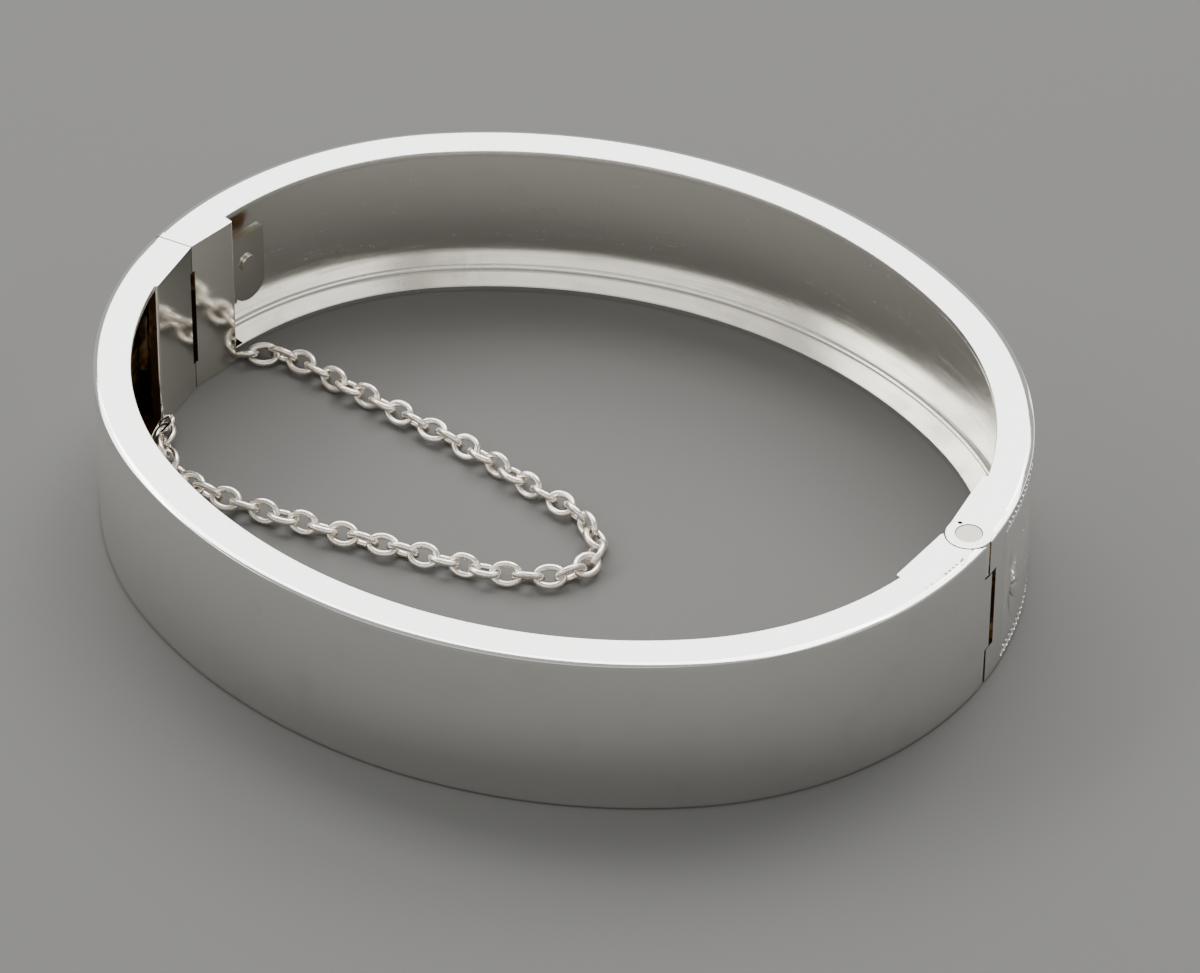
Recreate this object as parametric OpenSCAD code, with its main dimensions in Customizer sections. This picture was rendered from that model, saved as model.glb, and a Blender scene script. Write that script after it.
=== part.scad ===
// Hinged oval bangle in sheet silver, lying on its side, millimetres, +Z up.
// The long axis is X, with the hinge at +X and the snap clasp at -X.
// The plain half lies at -Y and the engraved half at +Y, and Z = 0 is the surface below.
// Each half is a channel of sheet silver that is open on the inside, closed at
// both ends by a flat inner plate. A short safety chain joins the two halves.

/* [Band] */
// Outside radius of the oval's two ends, at the hinge and at the clasp
end_r = 25.6; // [25.2:0.1:26]
// How much larger the outside radius of the oval's two sides is
side_more = 13.75; // [13.25:0.125:14.25]
// Height of the band from rim to rim
band_h = 12.7; // [12:0.1:14]
// Thickness of the silver sheet
sheet = 0.5; // [0.45:0.05:0.55]
// Depth of the flat rims, measured in from the outside
rim = 2.6; // [2.5:0.05:2.7]
// Bevel along the outside edge of each rim
bevel = 0.2; // [0.1:0.05:0.2]

/* [End plates] */
// Length of the end plates along the band
plate_len = 5; // [4.5:0.1:5.4]
// Thickness of the end plates
plate_t = 0.6; // [0.5:0.05:0.65]

/* [Hinge] */
// How far the hinge pin lies to the plain half's side of the long axis
pin_off = 1.4; // [1.2:0.1:1.6]
// Distance from the outside of the band in to the pin's centre
pin_in = 1.66; // [1.64:0.01:1.7]
// Diameter of the hinge pin
pin_d = 1.84; // [1.6:0.02:1.9]
// Radius of the knuckles
knuckle_r = 1.6; // [1.5:0.05:1.6]
// Height of the engraved half's upper and lower knuckles
outer_knuckle_h = 3; // [2.6:0.1:3.4]
// Running clearance round and between the knuckles
hinge_gap = 0.1; // [0.06:0.01:0.12]

/* [Clasp] */
// How far the clasp seam lies to the engraved half's side of the long axis
seam_off = 1.75; // [1.6:0.05:1.9]
// Gap between the closed halves at the clasp
seam_gap = 0.1; // [0.06:0.02:0.14]
// Height of the thumbnail slot between the inner plates
slot_h = 8.1; // [7:0.1:9]
// Height of the spring tongue
tongue_h = 4.9; // [4:0.1:5.2]

/* [Engraved panel] */
// Distance from the rims to the panel's border line
border_in = 0.95; // [0.8:0.05:1.2]
// Width of the border line
border_w = 0.3; // [0.2:0.05:0.4]
// Depth of the border line
border_deep = 0.12; // [0.08:0.01:0.15]

/* [Safety chain] */
// Outside length of a link
link_len = 2.44; // [2.4:0.01:2.5]
// Outside width of a link
link_w = 1.8; // [1.7:0.05:1.9]
// Wire diameter of a link
wire = 0.38; // [0.36:0.01:0.4]
// Space between one link and the next where they pull on each other
link_play = 0.16; // [0.14:0.01:0.18]

/* [Hidden] */
$fn = 96;

// The oval is four arcs: two ends about [+-end_cx, 0] and two sides about [0, -+side_cy].
// They meet on lines in this direction, a unit vector that is exact in four decimals.
// The outside comes to 65.98 mm from hinge to clasp and 55.51 mm across the two halves.
split_dir = [0.5376, 0.8432];
end_cx = split_dir[0] * side_more;
side_cy = split_dir[1] * side_more;
side_r = end_r + side_more;
eps = 0.01;
far = 10;
reach = 100;

// Point on an end arc: side is 1 at the hinge and -1 at the clasp, depth is measured in from the outside.
function end_pt(side, depth, y) = [side * (end_cx + sqrt(pow(end_r - depth, 2) - y * y)), y];
function unit(v) = v / norm(v);
function left_of(v) = [-v[1], v[0]];

pin_at = end_pt(1, pin_in, -pin_off);
pin_gap = 0.03;
pin_inset = 0.04;
bore_r = pin_d / 2 + pin_gap;
knuckle_clear = knuckle_r + hinge_gap;
low_top = outer_knuckle_h;
high_bottom = band_h - outer_knuckle_h;
hinge_slot_near = -1.05;
hinge_slot_far = -0.45;
hinge_notch = 0.66;
block_len = 3.2;
hinge_fill = 3;
clasp_fill = 2.5;

// Inner plates: y where they start and end, and their depth from the outside at each.
plain_hinge_plate = [-pin_off - 0.5, -pin_off - 0.5 - plate_len - 0.6, 3.1, 2.95];
plain_clasp_plate = [seam_off + 1, seam_off - plate_len, 2.75, 2.8];
engraved_hinge_plate = [-pin_off, -pin_off + plate_len + 1, 3.1, 2.95];
engraved_clasp_plate = [seam_off - 1, seam_off + plate_len - 1.1, 2.6, 3.35];

// Box clasp: the end walls and their windows lie between these distances from the long axis.
end_wall = 0.5;
window_h = tongue_h + 0.4;
window_x = -end_cx - end_r + 0.75;
plain_window_w = 0.75;
engraved_window_w = 0.95;
slot_deep = 0.22;
border_hinge = 1.1;
border_clasp = 1.6;
mid_z = band_h / 2;

// Spring tongue, in plan: the leaf shows behind the engraved half's plate.
leaf_start = [-30.1, 7];
leaf_turn = 18;
leaf_w = 3;
leaf_t = 0.7;
leaf_top = 9.5;
leaf_bottom = 3.7;
leaf_dir = [sin(leaf_turn), cos(leaf_turn)];
leaf_root = leaf_start + 0.4 * leaf_dir;
tongue_t = 0.5;
window_pt = [-31.87, 1.4];
window_lap = 0.3;
fold_pt = [-31.97, -2.2];
fold_in = 0.24;
fold_cap = 0.4;
spring_t = 0.36;
catch_pt = [-31.2, 1];
rivet_along = 1.46;
rivet_z = 7.05;
rivet_r = 0.5;
rivet_head_r = 0.68;
rivet_head_h = 0.2;
rivet_reach = 1.25;
rivet_gap = 0.03;

// Safety chain: the route of the links on the surface, from the engraved half's eye to the plain half's.
eye_r = 0.7;
eye_wire = 0.44;
route = [
    [-28.2, 5.9], [-27, 6.7], [-25.6, 6.9], [-23.2, 6.6], [-19.8, 5.8], [-16.9, 5.3],
    [-13.9, 4.6], [-10.9, 4.1], [-7.2, 3.2], [-3.3, 2], [-0.2, 1.2], [1.9, 0.2],
    [3.5, -1.3], [4, -3], [3.5, -4.9], [2.2, -6], [0.7, -6.6], [-1.2, -7.3],
    [-3.4, -7.6], [-6.2, -7.9], [-9, -8.2], [-12.3, -8.5], [-15.5, -8.7], [-18.9, -8.9],
    [-21.8, -8.9], [-24.2, -8.7], [-26.3, -7.9], [-27.8, -6.6], [-28.8, -5.1], [-29.5, -3.6]
];
route_steps = 10;
roll = 45;
roll_drift = 5;
roll_rate = 37;

function spline(a, b, c, d, t) =
    ((2 * b) + (c - a) * t + (2 * a - 5 * b + 4 * c - d) * t * t + (3 * b - a - 3 * c + d) * t * t * t) / 2;
function route_pt(i) = route[max(0, min(len(route) - 1, i))];
trail = [
    for (i = [0:len(route) - 2], k = [0:route_steps - (i < len(route) - 2 ? 1 : 0)])
        spline(route_pt(i - 1), route_pt(i), route_pt(i + 1), route_pt(i + 2), k / route_steps)
];
trail_last = len(trail) - 1;
trail_s = [
    for (i = 0, s = 0; i <= trail_last; s = s + norm(trail[min(i + 1, trail_last)] - trail[i]), i = i + 1) s
];
trail_x = [for (i = [0:trail_last]) [trail_s[i], trail[i][0]]];
trail_y = [for (i = [0:trail_last]) [trail_s[i], trail[i][1]]];
function along(s) = [lookup(s, trail_x), lookup(s, trail_y)];
chain_len = trail_s[trail_last];

link_r = (link_w - wire) / 2;
link_half = (link_len - wire) / 2;
link_straight = link_len - link_w;
// The first link hangs in the eye's ring, so it starts a little way from the ring's centre.
eye_reach = eye_r - eye_wire / 2 - wire / 2 - link_play + link_half;
want_pitch = link_len - 2 * wire - link_play;
links = round((chain_len - 2 * eye_reach) / want_pitch) + 1;
pitch = (chain_len - 2 * eye_reach) / (links - 1);
function link_s(k) = eye_reach + k * pitch;
function link_roll(k) = (k % 2 == 0 ? roll : -roll) + roll_drift * sin(k * roll_rate);
function link_z(k) = link_r * abs(sin(link_roll(k))) + wire / 2 + eps;

// Channel section, with x = 0 at the outside of the band and a bevel along both outside edges.
module channel_section() {
    polygon([
        [-bevel, 0], [0, bevel], [0, band_h - bevel], [-bevel, band_h],
        [-rim, band_h], [-rim, band_h - sheet], [-sheet, band_h - sheet],
        [-sheet, sheet], [-rim, sheet], [-rim, 0]
    ]);
}

// One arc of the band: a ring of the section, kept inside a wedge.
module arc(centre, r, wedge) {
    intersection() {
        translate(centre)
            rotate_extrude()
                translate([r, 0]) children();
        translate([0, 0, -1])
            linear_extrude(band_h + 2) polygon(wedge);
    }
}

// End arc at the hinge, from y0 round to the side arc.
module end_arc(y0) {
    centre = [end_cx, 0];
    corner = centre + reach * split_dir;
    arc(centre, end_r, [centre, corner, [corner[0], y0], [end_cx + far, y0]]) children();
}

// Half of the oval at +Y, from y_hinge at the hinge round to y_clasp at the clasp.
module half_oval(y_hinge, y_clasp) {
    centre = [0, -side_cy];
    corner = centre + reach * split_dir;
    end_arc(y_hinge) children();
    arc(centre, side_r, [centre, corner, [-corner[0], corner[1]]]) children();
    mirror([1, 0, 0]) end_arc(y_clasp) children();
}

// Flat plate across the inside of the channel.
module inner_plate(side, plate) {
    a = end_pt(side, plate[2], plate[0]);
    b = end_pt(side, plate[3], plate[1]);
    across = side * sign(plate[1] - plate[0]) * left_of(unit(b - a)) * -plate_t;
    linear_extrude(band_h)
        polygon([a, b, b + across, a + across]);
}

// Solid fill between a plate and the outer wall, from y0 to y1.
module end_fill(side, y0, y1, plate_depth) {
    linear_extrude(band_h)
        polygon([
            end_pt(side, sheet / 2, y0), end_pt(side, sheet / 2, y1),
            end_pt(side, plate_depth, y1), end_pt(side, plate_depth, y0)
        ]);
}

module at_pin(z) {
    translate([pin_at[0], pin_at[1], z]) children();
}

// Everything in a box about the hinge between two heights.
module hinge_zone(y0, y1, z0, z1) {
    translate([pin_at[0] - far / 2, y0, z0]) cube([far, y1 - y0, z1 - z0]);
}

// Box about the clasp between two distances from the long axis.
module clasp_zone(x0, x1, y0, y1, h) {
    translate([x0, y0, mid_z - h / 2]) cube([x1 - x0, y1 - y0, h]);
}

// Ring soldered on for the chain, at s along the chain's route and turned as the next link would be.
module chain_eye(s, turn) {
    p = along(s);
    d = s < 1 ? along(1) - p : p - along(chain_len - 1);
    translate([p[0], p[1], eye_r * sin(roll) + eye_wire / 2 + eps])
        rotate([0, 0, atan2(d[1], d[0])])
            rotate([turn, 0, 0])
                rotate_extrude()
                    translate([eye_r, 0]) circle(d = eye_wire);
}

module plain_half() {
    y_seam = seam_off - seam_gap / 2;
    color("silver")
        difference() {
            union() {
                mirror([0, 1, 0])
                    half_oval(-hinge_slot_near, -seam_off - 1) channel_section();
                inner_plate(1, plain_hinge_plate);
                inner_plate(-1, plain_clasp_plate);
                end_fill(1, -pin_off - block_len, -pin_off, hinge_fill);
                end_fill(-1, y_seam - end_wall, seam_off + 1, clasp_fill);
                at_pin(low_top + hinge_gap)
                    cylinder(r = knuckle_r, h = high_bottom - low_top - 2 * hinge_gap);
                chain_eye(chain_len, links % 2 == 0 ? roll : -roll);
            }
            // Room for the engraved half's two knuckles.
            for (z = [-1, high_bottom - hinge_gap])
                at_pin(z) cylinder(r = knuckle_clear, h = outer_knuckle_h + hinge_gap + 1);
            for (z = [[-1, low_top + hinge_gap], [high_bottom - hinge_gap, band_h + 1]])
                hinge_zone(-pin_off - hinge_notch, far, z[0], z[1]);
            at_pin(-1) cylinder(r = bore_r, h = band_h + 2);
            // Clasp seam, the window that the tongue snaps through, and the thumbnail slot.
            translate([-end_cx - end_r - 1, y_seam, -1]) cube([far, far, band_h + 2]);
            clasp_zone(window_x, window_x + plain_window_w, y_seam - end_wall - eps, y_seam + eps, window_h);
            clasp_zone(window_x - 0.1, window_x + far, y_seam - slot_deep, y_seam + eps, slot_h);
        }
}

// Border line of the engraved panel: two long grooves and one upright at each end.
module panel_border() {
    inset = border_in - border_w / 2;
    y_hinge = border_hinge;
    y_clasp = seam_off + border_clasp;
    for (z = [inset, band_h - inset - border_w])
        half_oval(y_hinge, y_clasp)
            translate([-border_deep, z]) square([1, border_w]);
    for (end = [[0, end_cx, y_hinge], [1, end_cx, y_clasp]])
        mirror([end[0], 0, 0])
            arc([end_cx, 0], end_r, [
                [end_cx, end[2]], [end_cx + reach, end[2]],
                [end_cx + reach, end[2] + border_w], [end_cx, end[2] + border_w]
            ])
                translate([-border_deep, inset]) square([1, band_h - 2 * inset]);
}

module engraved_half() {
    y_seam = seam_off + seam_gap / 2;
    color("gainsboro")
        difference() {
            union() {
                half_oval(-pin_off, 0) channel_section();
                inner_plate(1, engraved_hinge_plate);
                inner_plate(-1, engraved_clasp_plate);
                end_fill(1, -pin_off, -pin_off + block_len, hinge_fill);
                end_fill(-1, seam_off - 1, y_seam + end_wall, clasp_fill);
                at_pin(0) cylinder(r = knuckle_r, h = band_h);
                chain_eye(0, -roll);
            }
            // Room for the plain half's middle knuckle and the wall's tongue beside it.
            at_pin(low_top) cylinder(r = knuckle_clear, h = high_bottom - low_top);
            hinge_zone(-far, hinge_slot_far, low_top, high_bottom);
            at_pin(-1) cylinder(r = bore_r, h = band_h + 2);
            // Clasp seam, the window that the tongue comes out of, and the thumbnail slot.
            translate([-end_cx - end_r - 1, y_seam - far, -1]) cube([far, far, band_h + 2]);
            clasp_zone(window_x, window_x + engraved_window_w, y_seam - eps, y_seam + end_wall + eps, window_h);
            clasp_zone(window_x - 0.1, window_x + far, y_seam - eps, y_seam + slot_deep, slot_h);
            panel_border();
        }
}

module hinge_pin() {
    color("darkgray")
        at_pin(pin_inset) cylinder(d = pin_d, h = band_h - 2 * pin_inset);
}

// Upright strip between two points in plan.
module strip(a, b, t, h) {
    translate([a[0], a[1], mid_z - h / 2])
        rotate([0, 0, atan2(b[1] - a[1], b[0] - a[0])])
            translate([0, -t / 2, 0]) cube([norm(b - a), t, h]);
}

// Frame on the leaf: X along the leaf, Y up the leaf, Z out of it towards the wrist.
module on_leaf() {
    translate([leaf_start[0], leaf_start[1], 0])
        rotate([0, 0, 90 - leaf_turn])
            rotate([90, 0, 0])
                children();
}

module snap_tongue() {
    color("lightgray")
        difference() {
            union() {
                on_leaf() translate([0, 0, -leaf_t / 2]) {
                    translate([0, leaf_bottom + leaf_w / 2, 0])
                        cube([leaf_w, leaf_top - leaf_bottom - leaf_w / 2, leaf_t]);
                    translate([leaf_w / 2, leaf_bottom + leaf_w / 2, 0]) cylinder(d = leaf_w - 2 * eps, h = leaf_t);
                }
                strip(leaf_root, window_pt, tongue_t, tongue_h);
                strip(window_pt + [0, window_lap], fold_pt, spring_t, tongue_h);
                strip(fold_pt - [spring_t / 2, 0], fold_pt + [fold_cap, 0], spring_t, tongue_h);
                strip(fold_pt + [fold_in, 0], catch_pt, spring_t, tongue_h);
            }
            on_leaf() translate([rivet_along, rivet_z, -leaf_t]) cylinder(r = rivet_r + rivet_gap, h = 2 * leaf_t);
        }
}

module tongue_rivet() {
    color("silver")
        on_leaf() translate([rivet_along, rivet_z, 0]) {
            translate([0, 0, -rivet_reach]) cylinder(r = rivet_r, h = rivet_reach + leaf_t / 2 + rivet_head_h / 2);
            translate([0, 0, leaf_t / 2 + rivet_gap]) cylinder(r = rivet_head_r, h = rivet_head_h);
        }
}

// One oval link: two half rings and two straight sides, lying in its own XY plane.
module link() {
    for (side = [0, 180])
        rotate([0, 0, side]) {
            translate([link_straight / 2, 0, 0])
                rotate([0, 0, -90])
                    rotate_extrude(angle = 180)
                        translate([link_r, 0]) circle(d = wire);
            translate([-link_straight / 2, link_r, 0])
                rotate([0, 90, 0])
                    cylinder(d = wire, h = link_straight);
        }
}

module safety_chain() {
    color("lightgray")
        for (k = [0:links - 1]) {
            a = along(link_s(k) - pitch / 2);
            b = along(link_s(k) + pitch / 2);
            mid = (a + b) / 2;
            translate([mid[0], mid[1], link_z(k)])
                rotate([0, 0, atan2(b[1] - a[1], b[0] - a[0])])
                    rotate([link_roll(k), 0, 0])
                        link();
        }
}

plain_half();
engraved_half();
hinge_pin();
snap_tongue();
tongue_rivet();
safety_chain();
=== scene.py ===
"""Looks of a hinged oval bangle in sheet silver: two hollow halves, an engraved panel, a clasp and a chain.

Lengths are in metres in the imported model's frame: +X to the hinge, +Y to the engraved half, +Z up.
"""

import logging
import math
from dataclasses import dataclass, field
from enum import Enum, IntEnum
from typing import Callable

import bpy
import numpy as np
from mathutils import Matrix, Vector


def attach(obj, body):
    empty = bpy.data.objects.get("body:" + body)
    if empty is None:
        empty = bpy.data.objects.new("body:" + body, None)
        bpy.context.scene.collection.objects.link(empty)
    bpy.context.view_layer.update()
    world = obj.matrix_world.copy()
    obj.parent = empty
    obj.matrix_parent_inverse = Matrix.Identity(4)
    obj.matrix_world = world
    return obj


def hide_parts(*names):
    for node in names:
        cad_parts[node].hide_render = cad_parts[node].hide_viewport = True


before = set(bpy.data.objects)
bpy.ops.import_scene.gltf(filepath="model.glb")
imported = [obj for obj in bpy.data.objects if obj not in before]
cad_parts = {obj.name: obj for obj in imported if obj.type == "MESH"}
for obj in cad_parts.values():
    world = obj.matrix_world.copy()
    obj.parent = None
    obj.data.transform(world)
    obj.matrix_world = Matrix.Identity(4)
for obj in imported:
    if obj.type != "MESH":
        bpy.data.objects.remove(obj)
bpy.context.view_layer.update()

Piece = bpy.types.Object
Socket = bpy.types.NodeSocket
Tree = bpy.types.NodeTree
Array = np.ndarray

MM = 0.001
# What lies within TINY is at the same place, and within NEAR of a surface it is on it.
TINY = 1e-7
NEAR = 0.02 * MM
# A cutting block reaches this far past the piece.
FAR = 10 * MM
OVER = 1 * MM
# Edges above these angles are rounded, and are left sharp in the shading.
SHARP = math.radians(40)
SMOOTH = math.radians(35)
ROUND_SIDES = 120
log = logging.getLogger("bangle")


class Kind(Enum):
    """What is picked in edit mode."""

    VERT = "VERT"
    EDGE = "EDGE"
    FACE = "FACE"


class Join(Enum):
    """How a tool shape meets the piece that it works on."""

    ADD = "UNION"
    CUT = "DIFFERENCE"


# Working by hand


def to_mode(name: str) -> None:
    """Switches to OBJECT or EDIT mode."""
    if bpy.context.object and bpy.context.object.mode != name:
        bpy.ops.object.mode_set(mode=name)


def hold(piece: Piece) -> None:
    """Makes a piece the only selected and active object, in object mode."""
    to_mode("OBJECT")
    bpy.ops.object.select_all(action="DESELECT")
    piece.select_set(True)
    bpy.context.view_layer.objects.active = piece


def settle(piece: Piece) -> Piece:
    """Puts an object's place, turn and scale into its mesh."""
    hold(piece)
    bpy.ops.object.transform_apply(location=True, rotation=True, scale=True)
    return piece


def points_of(piece: Piece) -> Array:
    """The piece's vertices, a row each."""
    co = np.empty(len(piece.data.vertices) * 3, np.float32)
    piece.data.vertices.foreach_get("co", co)
    return co.reshape(-1, 3).astype(float)


def middles_of(piece: Piece, kind: Kind) -> Array:
    """The middle of each vertex, edge or face, a row each."""
    co = points_of(piece)
    if kind is Kind.VERT:
        return co
    if kind is Kind.EDGE:
        ends = np.empty(len(piece.data.edges) * 2, np.int32)
        piece.data.edges.foreach_get("vertices", ends)
        return co[ends.reshape(-1, 2)].mean(1)
    middles = np.empty(len(piece.data.polygons) * 3, np.float32)
    piece.data.polygons.foreach_get("center", middles)
    return middles.reshape(-1, 3).astype(float)


def everything(x: Array, y: Array, z: Array) -> Array:
    """Passes all."""
    return np.ones(len(x), bool)


def pick(piece: Piece, kind: Kind, test: Callable = everything) -> None:
    """Selects what passes a test, and leaves the piece in edit mode.

    Args:
        piece: the object to work on.
        kind: whether vertices, edges or faces are picked.
        test: takes the x, y and z of the middles and says which are picked.
    """
    hold(piece)
    mesh = piece.data
    for group in (mesh.vertices, mesh.edges, mesh.polygons):
        group.foreach_set("select", np.zeros(len(group), bool))
    items = {Kind.VERT: mesh.vertices, Kind.EDGE: mesh.edges, Kind.FACE: mesh.polygons}[kind]
    items.foreach_set("select", test(*middles_of(piece, kind).T))
    bpy.context.tool_settings.mesh_select_mode = [kind is one for one in Kind]
    to_mode("EDIT")


def close_up(piece: Piece) -> None:
    """Merges doubles, fills open ends and points every face outwards."""
    pick(piece, Kind.VERT)
    bpy.ops.mesh.remove_doubles(threshold=TINY)
    bpy.ops.mesh.select_all(action="DESELECT")
    bpy.ops.mesh.select_non_manifold(extend=False, use_wire=False, use_multi_face=False, use_verts=False)
    bpy.ops.mesh.fill_holes(sides=0)
    bpy.ops.mesh.select_all(action="SELECT")
    bpy.ops.mesh.normals_make_consistent(inside=False)
    to_mode("OBJECT")


def finish_by(piece: Piece, kind: str, **values: object) -> None:
    """Adds a modifier with these values and applies it."""
    hold(piece)
    modifier = piece.modifiers.new("finish", kind)
    for name, value in values.items():
        setattr(modifier, name, value)
    bpy.ops.object.modifier_apply(modifier=modifier.name)


def work(piece: Piece, tool: Piece, how: Join) -> None:
    """Adds a tool shape to the piece or cuts it out, and removes the tool."""
    finish_by(piece, "BOOLEAN", operation=how.value, solver="EXACT", object=tool)
    bpy.data.objects.remove(tool)


def block(low: tuple, high: tuple) -> Piece:
    """A box between two corners."""
    middle = [(a + b) / 2 for a, b in zip(low, high)]
    bpy.ops.mesh.primitive_cube_add(size=1, location=middle)
    piece = bpy.context.object
    piece.scale = [b - a for a, b in zip(low, high)]
    return settle(piece)


def rod(centre: tuple, radius: float, low: float, high: float, soften: float = 0.0) -> Piece:
    """An upright rod, with its two rims rounded by soften."""
    place = (centre[0], centre[1], (low + high) / 2)
    depth = high - low
    bpy.ops.mesh.primitive_cylinder_add(vertices=ROUND_SIDES, radius=radius, depth=depth, location=place)
    piece = settle(bpy.context.object)
    if soften:
        round_edges(piece, soften)
    return piece


def plank(start: tuple, end: tuple, thick: float, low: float, high: float) -> Piece:
    """An upright strip between two points in plan, thick to the left of start towards end."""
    along = Vector(end) - Vector(start)
    left = Vector((-along.y, along.x)).normalized() * thick
    middle = (Vector(start) + Vector(end) + left) / 2
    bpy.ops.mesh.primitive_cube_add(size=1, location=(middle.x, middle.y, (low + high) / 2))
    piece = bpy.context.object
    piece.scale = (along.length, abs(thick), high - low)
    piece.rotation_euler = (0, 0, math.atan2(along.y, along.x))
    return settle(piece)


def round_edges(piece: Piece, width: float, segments: int = 3) -> None:
    """Rounds a piece's sharp edges."""
    finish_by(
        piece, "BEVEL", width=width, segments=segments, limit_method="ANGLE", angle_limit=SHARP,
        use_clamp_overlap=True,
    )


def smooth(piece: Piece) -> None:
    """Shades a piece smooth but for its edges, with normals that favour its large faces."""
    hold(piece)
    bpy.ops.object.shade_smooth_by_angle(angle=SMOOTH)
    finish_by(piece, "WEIGHTED_NORMAL", keep_sharp=True, weight=60)


def mark(piece: Piece, name: str, values: Array) -> None:
    """Keeps a value for each vertex, which a finish reads."""
    layer = piece.data.attributes.new(name, "FLOAT", "POINT")
    layer.data.foreach_set("value", values.astype(np.float32))


# The oval that everything follows


@dataclass(frozen=True)
class Arc:
    """One arc of the oval's upper half in plan, turning from the hinge towards the clasp.

    Attributes:
        centre: the arc's centre.
        radius: its outside radius.
        start: the angle at which it starts, in radians.
        end: the angle at which it ends.
        before: how far along the oval it starts.
    """

    centre: tuple
    radius: float
    start: float
    end: float
    before: float

    @property
    def length(self) -> float:
        """Its length along the outside."""
        return self.radius * (self.end - self.start)


@dataclass(frozen=True)
class Oval:
    """The band's outside in plan, four arcs that meet on the lines of split_dir.

    Attributes:
        end_r: radius of the two ends.
        side_more: how much larger the sides' radius is.
        split_dir: unit vector from a side's centre through an end's centre.
    """

    end_r: float = 25.6 * MM
    side_more: float = 13.75 * MM
    split_dir: tuple = (0.5376, 0.8432)

    @property
    def end_cx(self) -> float:
        """How far the ends' centres lie from the middle."""
        return self.split_dir[0] * self.side_more

    @property
    def side_cy(self) -> float:
        """How far the sides' centres lie past the middle."""
        return self.split_dir[1] * self.side_more

    @property
    def reach(self) -> float:
        """How far the ends lie from the middle."""
        return self.end_cx + self.end_r

    @property
    def arcs(self) -> list:
        """The three arcs of the half at +Y, from the hinge round to the clasp."""
        split = math.atan2(self.split_dir[1], self.split_dir[0])
        spans = (
            ((self.end_cx, 0.0), self.end_r, 0.0, split),
            ((0.0, -self.side_cy), self.end_r + self.side_more, split, math.pi - split),
            ((-self.end_cx, 0.0), self.end_r, math.pi - split, math.pi),
        )
        out, before = [], 0.0
        for centre, radius, start, end in spans:
            out.append(Arc(centre, radius, start, end, before))
            before += out[-1].length
        return out

    def end_point(self, side: int, depth: float, y: float) -> tuple:
        """Point in plan at a depth under an end arc: side is 1 at the hinge and -1 at the clasp."""
        return (side * (self.end_cx + math.sqrt((self.end_r - depth) ** 2 - y * y)), y)

    def locate(self, co: Array) -> tuple:
        """Where points lie on the oval.

        Args:
            co: points, a row each.

        Returns:
            How far along each lies from the hinge, in either half, and its depth from the outside.
        """
        x, y = co[:, 0], np.abs(co[:, 1])
        along, depth = np.zeros(len(co)), np.zeros(len(co))
        first, middle, last = self.arcs
        slope = self.split_dir[1] / self.split_dir[0]
        at_hinge = y < (x - self.end_cx) * slope
        at_clasp = y < (-x - self.end_cx) * slope
        for arc, inside in ((first, at_hinge), (last, at_clasp), (middle, ~at_hinge & ~at_clasp)):
            dx, dy = x - arc.centre[0], y - arc.centre[1]
            angle = np.arctan2(dy, dx)
            along[inside] = (arc.before + arc.radius * (angle - arc.start))[inside]
            depth[inside] = (arc.radius - np.hypot(dx, dy))[inside]
        return along, depth


@dataclass(frozen=True)
class Sizes:
    """Sizes that the pieces share: the solids' own, and finer forms that the solids leave out.

    Attributes:
        band_h: the band's height.
        sheet: thickness of the sheet.
        rim: width of the rims.
        facet_w: width of the facet along a rim's outer edge.
        facet_h: the facet's height.
        turn: how much the facet's two edges are rounded, and the knuckles' and the pin's rims.
        lip: how much the rims' inner edges and the plates' edges are rounded.
        fillet: how much the channel's two inner corners are rounded.
        plate_t: thickness of the inner plates.
        plate_turn: how much the plates' upright edges are rounded.
        bed_in: how far from the rims the engraved panel's bed starts.
        bed_deep: the bed's depth.
        pin_off: how far the pin lies towards the plain half from the long axis.
        pin_in: how far it lies in from the outside.
        pin_r: its radius.
        bore_r: radius of its bores.
        knuckle_r: radius of the knuckles.
        knuckle_h: height of the upper and of the lower knuckle.
        hinge_gap: gap between the knuckles, and round them.
        seam_off: how far the clasp's seam lies towards the engraved half from the long axis.
        seam_half: half the seam's gap.
        window_at: how far in from the outside the clasp's window starts.
        window_half: half the window's height.
        window_in: how far it goes into each half.
        slot_more: how much nearer to the outside the thumbnail slot starts.
        slot_half: half the slot's height.
        slot_in: how far it goes into each half.
    """

    band_h: float = 12.7 * MM
    sheet: float = 0.5 * MM
    rim: float = 2.6 * MM
    facet_w: float = 0.42 * MM
    facet_h: float = 0.12 * MM
    turn: float = 0.05 * MM
    lip: float = 0.07 * MM
    fillet: float = 0.42 * MM
    plate_t: float = 0.9 * MM
    plate_turn: float = 0.16 * MM
    bed_in: float = 0.4 * MM
    bed_deep: float = 0.25 * MM
    pin_off: float = 1.4 * MM
    pin_in: float = 1.66 * MM
    pin_r: float = 0.92 * MM
    bore_r: float = 0.95 * MM
    knuckle_r: float = 1.6 * MM
    knuckle_h: float = 3.0 * MM
    hinge_gap: float = 0.1 * MM
    seam_off: float = 1.75 * MM
    seam_half: float = 0.05 * MM
    window_at: float = 0.75 * MM
    window_half: float = 2.65 * MM
    window_in: float = 0.52 * MM
    slot_more: float = 0.1 * MM
    slot_half: float = 4.05 * MM
    slot_in: float = 0.22 * MM


OVAL = Oval()
SIZES = Sizes()
PIN_AT = OVAL.end_point(1, SIZES.pin_in, -SIZES.pin_off)
PIT_AT = (PIN_AT[0] - 0.98 * MM, PIN_AT[1] + 0.72 * MM)


def spin_along(piece: Piece, side: int, spans: list) -> None:
    """Sweeps the picked section along arcs, in edit mode.

    Args:
        piece: the object with the section picked; not used.
        side: 1 towards +Y and -1 towards -Y.
        spans: for each arc the arc, its start and end angle and its number of steps.
    """
    for arc, start, end, steps in spans:
        centre = (arc.centre[0], side * arc.centre[1], 0)
        bpy.ops.mesh.spin(steps=steps, dupli=False, angle=end - start, center=centre, axis=(0, 0, -side))


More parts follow.
